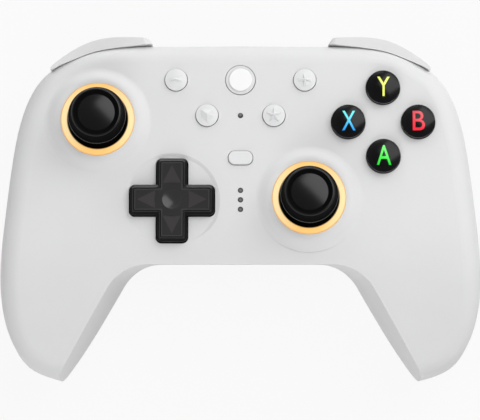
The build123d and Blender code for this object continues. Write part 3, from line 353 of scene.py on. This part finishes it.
def pad_plastic_on():
    """Black plastic with a grained panel, arrows painted paler as painted light, painted highlights
    along its ridge and lip, and a polished dimple.
    """
    x, y, _ = middle("dpad")
    finish = Finish(
        "direction_pad_plastic", PAD_BLACK, PAD_ROUGHNESS,
        {"Specular IOR Level": 0.14, "Coat Roughness": 0.2},
    )
    across, up, radius = finish.about(x, y)
    across = across.size()
    up = up.size()
    level_arm = across.calc("MINIMUM", PAD_SPAN / 2 - across, PAD_ARM / 2 - up)
    upright_arm = across.calc("MINIMUM", PAD_ARM / 2 - across, PAD_SPAN / 2 - up)
    inward = level_arm.calc("MAXIMUM", level_arm, upright_arm)
    panel = inward.between(*PAD_EDGE)
    facing = finish.node("TexCoord", {}, {}).outputs["Normal"]
    backward = Wire(finish.tree, finish.node("SeparateXYZ", {}, {"Vector": facing}).outputs["Y"])
    along = across.calc("MAXIMUM", across, up)
    aside = across.calc("MINIMUM", across, up)
    edge = (ARROW_REACH - along) * (ARROW_HALF / (ARROW_REACH - ARROW_HEEL))
    arrow = (edge - aside).between(-ARROW_BLUR, ARROW_BLUR)
    arrow = arrow * along.between(ARROW_HEEL - ARROW_BLUR, ARROW_HEEL + ARROW_BLUR)
    slow = finish.noise(6.0, 2.0)
    fine = finish.noise(0.2, 1.0)
    # Paler lines along the ridge and along the panel's lip: painted highlights on these edges.
    edge_highlight = inward.band(*PAD_RIDGE) * PAD_RIDGE_HIGHLIGHT + inward.band(*PAD_LIP)
    black = finish.blend(slow, tint(PAD_FACE, 0.9), tint(PAD_FACE, 1.1))
    black = finish.blend(panel, PAD_BLACK, black)
    black = finish.blend(edge_highlight, black, PAD_HIGHLIGHT_GREY)
    # The arrows are painted paler: painted light standing in for the light their facets catch.
    finish.set("Base Color", finish.blend(arrow, black, PAD_ARROW_LIT_GREY))
    finish.set("Roughness", PAD_ROUGHNESS + (fine - 0.5) * 0.1)
    dimple = 1 - radius.between(DIMPLE_RADIUS, DIMPLE_RADIUS + DIMPLE_BLUR)
    finish.set("Coat Weight", dimple + backward.between(*FACING_BACK) * (1 - panel))
    finish.bump(fine, 0.004)
    return finish


home_white = home_plastic()
smoked = lamp_plastic()
pad_plastic = pad_plastic_on()
rubber = {side: stick_rubber_on(side) for side in ("left", "right")}


def circuit_board():
    """Green solder resist with a faint weave and copper runs under it."""
    finish = Finish("solder_resist", (0.02, 0.12, 0.06), 0.3)
    place = finish.place()
    squares = finish.node("TexVoronoi", {"distance": "MANHATTAN"}, {"Vector": place, "Scale": 260.0})
    runs = Wire(finish.tree, squares.outputs["Distance"]).between(0.35, 0.42)
    finish.set("Base Color", finish.blend(runs, (0.015, 0.10, 0.05), (0.05, 0.22, 0.10)))
    finish.bump(runs, 0.02)
    return finish


board = circuit_board()

FINISHES = {
    shell: ["front_shell", "rear_shell", "right_bumper", "left_bumper", "right_trigger", "left_trigger",
            "right_paddle", "left_paddle"],
    small_white: ["minus_button", "plus_button", "menu_button", "star_button", "profile_button",
                  "left_inner_button", "right_inner_button", "pair_button", "mode_slider"],
    home_white: ["home_button"],
    rubber["left"]: ["left_stick_cap"],
    rubber["right"]: ["right_stick_cap"],
    pad_plastic: ["dpad"],
    gloss_black: ["button_a", "button_b", "button_x", "button_y"],
    smoked: ["status_lens", "profile_lens"],
    module_black: ["left_stick_module", "right_stick_module", "left_stick_inner_rocker",
                   "right_stick_inner_rocker", "left_stick_outer_rocker", "right_stick_outer_rocker",
                   "left_stick_hub", "right_stick_hub", "dpad_pivot"],
    switch_black: ["face_switches", "edge_switches"],
    silicone: ["face_button_pad", "dpad_pad"],
    steel: ["left_stick_lever", "right_stick_lever", "bumper_pins", "trigger_pins", "trigger_springs",
            "case_screws", "board_screws", "usb_port", "left_motor_weight", "right_motor_weight"],
    can_steel: ["left_motor", "right_motor"],
    gold: ["charging_contacts"],
    foil: ["battery"],
    board: ["main_board"],
}
for finish, nodes in FINISHES.items():
    for node in nodes:
        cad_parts[node].data.materials.clear()
        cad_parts[node].data.materials.append(finish.material)
for node in ("left_light_ring", "right_light_ring"):
    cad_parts[node].data.materials.clear()
    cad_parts[node].data.materials.append(glowing_ring(node + "_guide", node).material)


SPHERE_SIDES = 96


def clear_selection():
    """Object mode with nothing selected, so that an operator acts on its own piece alone."""
    if bpy.context.mode != "OBJECT":
        bpy.ops.object.mode_set(mode="OBJECT")
    bpy.ops.object.select_all(action="DESELECT")


def edit_all(kind="VERT"):
    """Edit mode on the active object with everything selected."""
    bpy.ops.object.mode_set(mode="EDIT")
    bpy.ops.mesh.select_mode(type=kind)
    bpy.ops.mesh.select_all(action="SELECT")


def face_outwards():
    """Turns every face of the mesh in edit mode outwards."""
    bpy.ops.mesh.select_all(action="SELECT")
    bpy.ops.mesh.normals_make_consistent(inside=False)


def combine(piece, tool, operation, own_overlaps=False):
    """Cuts a piece by a closed tool, or keeps what is inside the tool, and removes the tool."""
    clear_selection()
    piece.select_set(True)
    bpy.context.view_layer.objects.active = piece
    cut = piece.modifiers.new("cut", "BOOLEAN")
    cut.operation = operation
    cut.solver = "EXACT"
    cut.use_self = own_overlaps
    cut.object = tool
    bpy.ops.object.modifier_apply(modifier=cut.name)
    bpy.data.objects.remove(tool)


def plate(outline, height):
    """One flat face with an outline's corners at a height, in millimetres."""
    clear_selection()
    bpy.ops.mesh.primitive_circle_add(vertices=len(outline), radius=MM, fill_type="NGON")
    piece = bpy.context.active_object
    for vertex, (x, y) in zip(piece.data.vertices, outline):
        vertex.co = (x * MM, y * MM, height * MM)
    return piece


def ball(centre, radius, rings=SPHERE_SIDES):
    """A fine sphere, whose cap is to follow or to hollow a surface."""
    clear_selection()
    bpy.ops.mesh.primitive_uv_sphere_add(
        segments=SPHERE_SIDES, ring_count=rings, radius=radius * MM, location=[c * MM for c in centre]
    )
    return bpy.context.active_object


def quarter_turns(points):
    """An outline's first quarter, followed by its three turned copies."""
    outline = []
    for _ in range(4):
        outline += points
        points = [(-y, x) for x, y in points]
    return outline


def crown_radius(reach, rise):
    """The radius of the sphere whose cap has a reach and a rise."""
    return (reach**2 + rise**2) / (2 * rise)


def finished(name, finish, body, angle=35.0):
    """Ends the modelling of the active object: place into the mesh, shading, finish and body."""
    if bpy.context.mode != "OBJECT":
        bpy.ops.object.mode_set(mode="OBJECT")
    bpy.ops.object.transform_apply(location=True, rotation=True, scale=True)
    piece = bpy.context.active_object
    piece.name = name
    piece.data.name = name
    bpy.ops.object.shade_smooth_by_angle(angle=math.radians(angle))
    piece.data.materials.clear()
    piece.data.materials.append(finish.material)
    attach(piece, body)
    return piece


def turned(centre, profile, sides=96):
    """A round solid: a circle extruded ring by ring along a profile of radius and height, in
    millimetres, closed at both ends on the axis."""
    x, y = centre
    clear_selection()
    radius, height = profile[0]
    bpy.ops.mesh.primitive_circle_add(
        vertices=sides, radius=radius * MM, fill_type="NGON", location=(x * MM, y * MM, height * MM)
    )
    edit_all("EDGE")
    bpy.ops.mesh.region_to_loop()
    for next_radius, next_height in profile[1:]:
        rise = (0, 0, (next_height - height) * MM)
        bpy.ops.mesh.extrude_edges_move(TRANSFORM_OT_translate={"value": rise})
        if next_radius == 0:
            bpy.ops.mesh.merge(type="CENTER")
        else:
            share = next_radius / radius
            bpy.ops.transform.resize(
                value=(share, share, 1), center_override=(x * MM, y * MM, next_height * MM)
            )
        radius, height = next_radius, next_height
    face_outwards()


def arc(radius, centre_height, start, end, steps):
    """Points of a profile on a sphere about the axis, by angle from straight up."""
    angles = [math.radians(start + (end - start) * i / steps) for i in range(steps + 1)]
    return [(radius * math.sin(a), centre_height + radius * math.cos(a)) for a in angles]


# Thumbstick caps: a dome about the pivot, a stem, a flared skirt and a rim round a low disc
PIVOT_HEIGHT = 38.0
DOME = 11.5
DOME_INSIDE = 10.6
DOME_BORE = 9.0
DOME_REACH = 74.0
STEM = 3.4
CAP_DISC = 5.6
CAP_DISC_HEIGHT = 59.1
CAP_DISC_RISE = 0.5
CAP_RIM = [
    (3.4, 49.8), (3.4, 51.1), (3.5, 52.0), (3.95, 52.85), (5.0, 53.48), (6.5, 53.9), (7.9, 54.15),
    (8.4, 54.24), (8.65, 54.35), (8.78, 54.55), (8.8, 54.75), (8.7, 54.95), (8.5, 55.2), (8.3, 55.8),
    (8.1, 56.6), (7.92, 57.5), (7.78, 58.4), (7.7, 59.0), (7.62, 59.45), (7.45, 59.8), (7.2, 59.97),
    (6.95, 60.0), (6.7, 59.96), (6.5, 59.84), (6.3, 59.62), (6.0, 59.32), (5.8, 59.15), (5.68, 59.09),
]
CAP_DOME = [
    (CAP_DISC * share, CAP_DISC_HEIGHT + CAP_DISC_RISE * (1 - share**2))
    for share in (1.0, 0.97, 0.9, 0.8, 0.65, 0.5, 0.35, 0.2, 0)
]


def stick_cap(side):
    """One cap, turned about its stick's axis."""
    x, y, _ = middle(side + "_light_ring")
    start = math.degrees(math.asin(STEM / DOME))
    inside = arc(DOME_INSIDE, PIVOT_HEIGHT, DOME_BORE, DOME_REACH, 14)
    outside = arc(DOME, PIVOT_HEIGHT, DOME_REACH, start, 18)
    turned((x, y), inside + outside + CAP_RIM + CAP_DOME)
    piece = finished(side + "_thumbstick_cap", rubber[side], side + "_stick", 50.0)
    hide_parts(side + "_stick_cap")


for side in ("left", "right"):
    stick_cap(side)


# Direction pad
PAD_FLANGE = (13.6, 42.2, 43.4)
PAD_SMOOTHING = 14.0
PAD_CORNER = 1.6
PAD_INNER_CORNER = 0.35
PAD_FOOT = 43.3
PAD_WALL = 48.55
PAD_BEVEL = (1.0, 0.95)
PAD_GROOVE = (0.13, -0.2)
PAD_GROOVE_FLOOR = 0.14
PAD_PANEL = (0.2, 0.26)
PAD_TOP = 49.56
DIMPLE_DEPTH = 0.5
ARROW_DEPTH = 0.25
ARROW_SPILL = 0.05


def rounded_corner(centre, radius, start, turn, steps=5):
    """Points of a quarter arc in the plane, by angle in degrees."""
    x, y = centre
    angles = [math.radians(start + turn * i / steps) for i in range(steps + 1)]
    return [(x + radius * math.cos(a), y + radius * math.sin(a)) for a in angles]


def cross_outline():
    """The cross from its right arm round, with rounded tips and nearly sharp inner corners."""
    tip = PAD_SPAN / 2 - PAD_CORNER
    side = PAD_ARM / 2 - PAD_CORNER
    notch = PAD_ARM / 2 + PAD_INNER_CORNER
    arm = rounded_corner((tip, -side), PAD_CORNER, -90, 90)
    arm += rounded_corner((tip, side), PAD_CORNER, 0, 90)
    arm += rounded_corner((notch, notch), PAD_INNER_CORNER, 270, -90, 2)
    return quarter_turns(arm)


def arrow_tool(centre, turn):
    """A wedge that cuts an arrow of two facets into an arm, deepest along the arm's middle."""
    clear_selection()
    bpy.ops.mesh.primitive_cone_add(vertices=3, radius1=MM, depth=MM, end_fill_type="NGON")
    tool = bpy.context.active_object
    corners = [
        (ARROW_REACH, 0, ARROW_SPILL),
        (ARROW_HEEL, ARROW_HALF, ARROW_SPILL),
        (ARROW_HEEL, -ARROW_HALF, ARROW_SPILL),
        (ARROW_HEEL + ARROW_SPILL, 0, -ARROW_DEPTH),
    ]
    for vertex, (along, across, height) in zip(tool.data.vertices, corners):
        x = centre[0] + along * math.cos(turn) - across * math.sin(turn)
        y = centre[1] + along * math.sin(turn) + across * math.cos(turn)
        vertex.co = (x * MM, y * MM, (PAD_TOP + height) * MM)
    edit_all()
    face_outwards()
    bpy.ops.object.mode_set(mode="OBJECT")
    return tool


def direction_pad():
    """The cross: a broad outer bevel, a fine groove, a raised panel, a dimple and four arrows."""
    x, y, _ = middle("dpad")
    radius, low, high = PAD_FLANGE
    turned((x, y), [(radius, low), (radius, high), (0, high)])
    bpy.ops.object.mode_set(mode="OBJECT")
    flange = bpy.context.active_object
    cross = plate([(x + across, y + up) for across, up in cross_outline()], PAD_FOOT)
    edit_all("FACE")
    wall = (0, 0, (PAD_WALL - PAD_FOOT) * MM)
    bpy.ops.mesh.extrude_region_move(TRANSFORM_OT_translate={"value": wall})
    for thickness, rise in (PAD_BEVEL, PAD_GROOVE, (PAD_GROOVE_FLOOR, 0), PAD_PANEL):
        bpy.ops.mesh.inset(thickness=thickness * MM, depth=rise * MM)
    face_outwards()
    hollow = crown_radius(DIMPLE_RADIUS, DIMPLE_DEPTH)
    combine(cross, ball((x, y, PAD_TOP - DIMPLE_DEPTH + hollow), hollow), "DIFFERENCE")
    for i in range(4):
        combine(cross, arrow_tool((x, y), math.pi / 2 * i), "DIFFERENCE")
    clear_selection()
    flange.select_set(True)
    cross.select_set(True)
    bpy.context.view_layer.objects.active = cross
    bpy.ops.object.join()
    piece = finished("direction_pad", pad_plastic, "dpad", PAD_SMOOTHING)
    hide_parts("dpad")


direction_pad()


# Letters on the face buttons
LETTER_HEIGHT = 6.1
LETTER_WIDTHS = {"a": 4.4, "b": 3.75, "x": 4.1, "y": 3.9}
LETTER_WEIGHT = 0.004
LETTER_PROUD = 0.03
LETTER_SKIN = 1.2
LETTER_WELD = 1e-6
LETTER_RINGS = 192
LETTER_ACROSS = 0.1
LETTER_PAINTED_GLOW = 0.25
BUTTON_RADIUS = 5.15
BUTTON_CROWN = 1.1
LETTER_COLOURS = {
    "a": ((0.16, 0.86, 0.16), (0.01, 0.66, 0.03)),
    "b": ((0.62, 0.08, 0.10), (0.84, 0.02, 0.04)),
    "x": ((0.16, 0.85, 0.88), (0.02, 0.30, 0.86)),
    "y": ((0.72, 0.80, 0.16), (0.82, 0.84, 0.14)),
}


def letter_print(letter, centre):
    """Glossy print, its colour deepening down the letter, with a faint painted glow of that colour."""
    x, y, _ = centre
    top, foot = LETTER_COLOURS[letter]
    finish = Finish("letter_" + letter, top, 0.25, {"Specular IOR Level": 0.36})
    _, up, _ = finish.along(finish.place((x, y, 0)))
    colour = finish.blend(up.between(-LETTER_HEIGHT / 2, LETTER_HEIGHT / 2), foot, top)
    grain = finish.noise(0.4, 1.0)
    finish.set("Base Color", colour)
    finish.set("Roughness", 0.10 + grain * 0.06)
    # The print is no lamp: its glow is painted light that keeps the letters bright.
    finish.shader.inputs["Emission Strength"].default_value = LETTER_PAINTED_GLOW
    finish.set("Emission Color", colour)
    return finish


def letter_piece(letter):
    """The letter's outline, cut as a skin that follows the button's crown."""
    node = "button_" + letter
    x, y, top = middle(node)
    crown = crown_radius(BUTTON_RADIUS, BUTTON_CROWN)
    dome = ball((x, y, top - crown), crown + LETTER_PROUD, LETTER_RINGS)
    edit_all()
    bpy.ops.mesh.bisect(
        plane_co=(x * MM, y * MM, (top - LETTER_SKIN) * MM), plane_no=(0, 0, 1),
        clear_inner=True, use_fill=True,
    )
    clear_selection()
    bpy.ops.object.text_add(location=(0, 0, 0))
    words = bpy.context.active_object
    words.data.body = letter.upper()
    words.data.offset = LETTER_WEIGHT
    words.data.extrude = 1.0
    words.data.align_x = "CENTER"
    bpy.ops.object.convert(target="MESH")
    words = bpy.context.active_object
    wide, tall, _ = words.dimensions
    words.scale = (LETTER_WIDTHS[letter] * MM / wide, LETTER_HEIGHT * MM / tall, 4 * MM)
    bpy.ops.object.transform_apply(location=False, rotation=False, scale=True)
    corners = [v.co for v in words.data.vertices]
    mid_x = (max(c.x for c in corners) + min(c.x for c in corners)) / 2
    mid_y = (max(c.y for c in corners) + min(c.y for c in corners)) / 2
    words.location = ((x + LETTER_ACROSS) * MM - mid_x, y * MM - mid_y, top * MM)
    edit_all()
    bpy.ops.mesh.remove_doubles(threshold=LETTER_WELD)
    face_outwards()
    combine(dome, words, "INTERSECT", own_overlaps=True)
    finished("letter_" + letter, letter_print(letter, (x, y, top)), node)


for letter in "abxy":
    letter_piece(letter)


# Raised faceted signs on the small buttons
SIGN_SUNK = 0.3
SIGN_PLATE = 0.34
SIGN_RISE = 0.75
SIGN_SMOOTHING = 5.0
TALL = 1.3


def sign(name, node, outline, ridge=1.0):
    """A low faceted sign: an outline on the button whose middle is drawn up."""
    x, y, top = middle(node)
    plate([(x + across, y + up) for across, up in outline], top - SIGN_SUNK)
    edit_all()
    bpy.ops.mesh.extrude_region_move(TRANSFORM_OT_translate={"value": (0, 0, SIGN_PLATE * MM)})
    bpy.ops.mesh.poke(offset=SIGN_RISE * ridge * MM)
    face_outwards()
    finished(name, small_white, node, SIGN_SMOOTHING)


def star_outline(outer, inner, count=5):
    """A star with one point up, by the radii of its points and its notches."""
    points = []
    for i in range(2 * count):
        radius = outer if i % 2 == 0 else inner
        turn = math.pi / 2 + math.pi * i / count
        points.append((radius * math.cos(turn), radius * math.sin(turn)))
    return points


PLUS_ARM = 1.95
PLUS_HALF = 0.55
STAR_RADII = (2.45, 1.05)
plus = quarter_turns([(PLUS_HALF, PLUS_ARM), (-PLUS_HALF, PLUS_ARM), (-PLUS_HALF, PLUS_HALF)])
minus = [
    (PLUS_ARM, PLUS_HALF), (-PLUS_ARM, PLUS_HALF), (-PLUS_ARM, -PLUS_HALF), (PLUS_ARM, -PLUS_HALF),
]
shield = [(1.8, 1.7), (-1.8, 1.7), (-1.8, -0.4), (0, -2.1), (1.8, -0.4)]
sign("plus_sign", "plus_button", plus)
sign("minus_sign", "minus_button", minus)
sign("menu_sign", "menu_button", shield, TALL)
sign("star_sign", "star_button", star_outline(*STAR_RADII), TALL)


# Stage and light
FLOOR_SIZE = 4.0
FLOOR_GREY = (0.6, 0.6, 0.6)
FLOOR_GLOW = 0.9


def set_stage():
    """A pale floor that looks near white to the camera and keeps a trace of shadow."""
    clear_selection()
    bpy.ops.mesh.primitive_plane_add(size=FLOOR_SIZE)
    floor = bpy.context.active_object
    floor.name = "floor"
    finish = Finish("floor", FLOOR_GREY, 0.9, {"Specular IOR Level": 0.0})
    rays = finish.node("LightPath", {}, {}).outputs
    kinds = ("Is Camera Ray", "Is Glossy Ray", "Is Transmission Ray")
    camera, glossy, through = [Wire(finish.tree, rays[kind]) for kind in kinds]
    seen = camera + glossy + through
    plain = finish.node("Emission", {}, {"Color": (1, 1, 1, 1), "Strength": 1.0})
    mix = finish.node("MixShader", {}, {0: seen.calc("MINIMUM", seen, 1.0) * FLOOR_GLOW})
    finish.tree.links.new(finish.shader.outputs[0], mix.inputs[1])
    finish.tree.links.new(plain.outputs[0], mix.inputs[2])
    output = finish.tree.nodes["Material Output"]
    finish.tree.links.new(mix.outputs[0], output.inputs["Surface"])
    floor.data.materials.append(finish.material)


def softbox(name, place, radiance, size=0.5, aim=(0, 0, 0.03), mirrored=True):
    """A square lamp whose face shows a given radiance, and which gloss may mirror or not."""
    light = bpy.data.lights.new(name, "AREA")
    light.shape = "SQUARE"
    light.size = size
    light.energy = math.pi * size**2 * radiance
    holder = bpy.data.objects.new(name, light)
    holder.visible_glossy = mirrored
    bpy.context.scene.collection.objects.link(holder)
    holder.location = place
    holder.rotation_euler = (Vector(aim) - Vector(place)).to_track_quat("-Z", "Y").to_euler()


CEILING_LEVEL = 0.11
HORIZON_LEVEL = 0.68


def set_world():
    """A studio that is darker overhead than at the sides."""
    world = bpy.data.worlds.new("studio")
    bpy.context.scene.world = world
    world.use_nodes = True
    tree = world.node_tree
    coordinates = tree.nodes.new("ShaderNodeTexCoord")
    parts = tree.nodes.new("ShaderNodeSeparateXYZ")
    tree.links.new(coordinates.outputs["Generated"], parts.inputs[0])
    overhead = Wire(tree, parts.outputs["Z"]).between(0.0, 1.0)
    level = HORIZON_LEVEL + overhead * (CEILING_LEVEL - HORIZON_LEVEL)
    background = tree.nodes["Background"]
    background.inputs["Color"].default_value = (1, 1, 1, 1)
    tree.links.new(level.socket, background.inputs["Strength"])


set_stage()
set_world()
softbox("key", (0.27, 0.27, 0.627), 2.0, size=0.57, aim=(0, 0, 0.04))
softbox("top_fill", (-0.06, -0.12, 0.72), 1.15, mirrored=False)
softbox("front_fill", (-0.1, -0.62, 0.42), 2.3, mirrored=False)
softbox("back_fill", (-0.16, 0.72, 0.28), 1.7)
softbox("right_fill", (0.54, 0.42, 0.3), 1.9, mirrored=False)
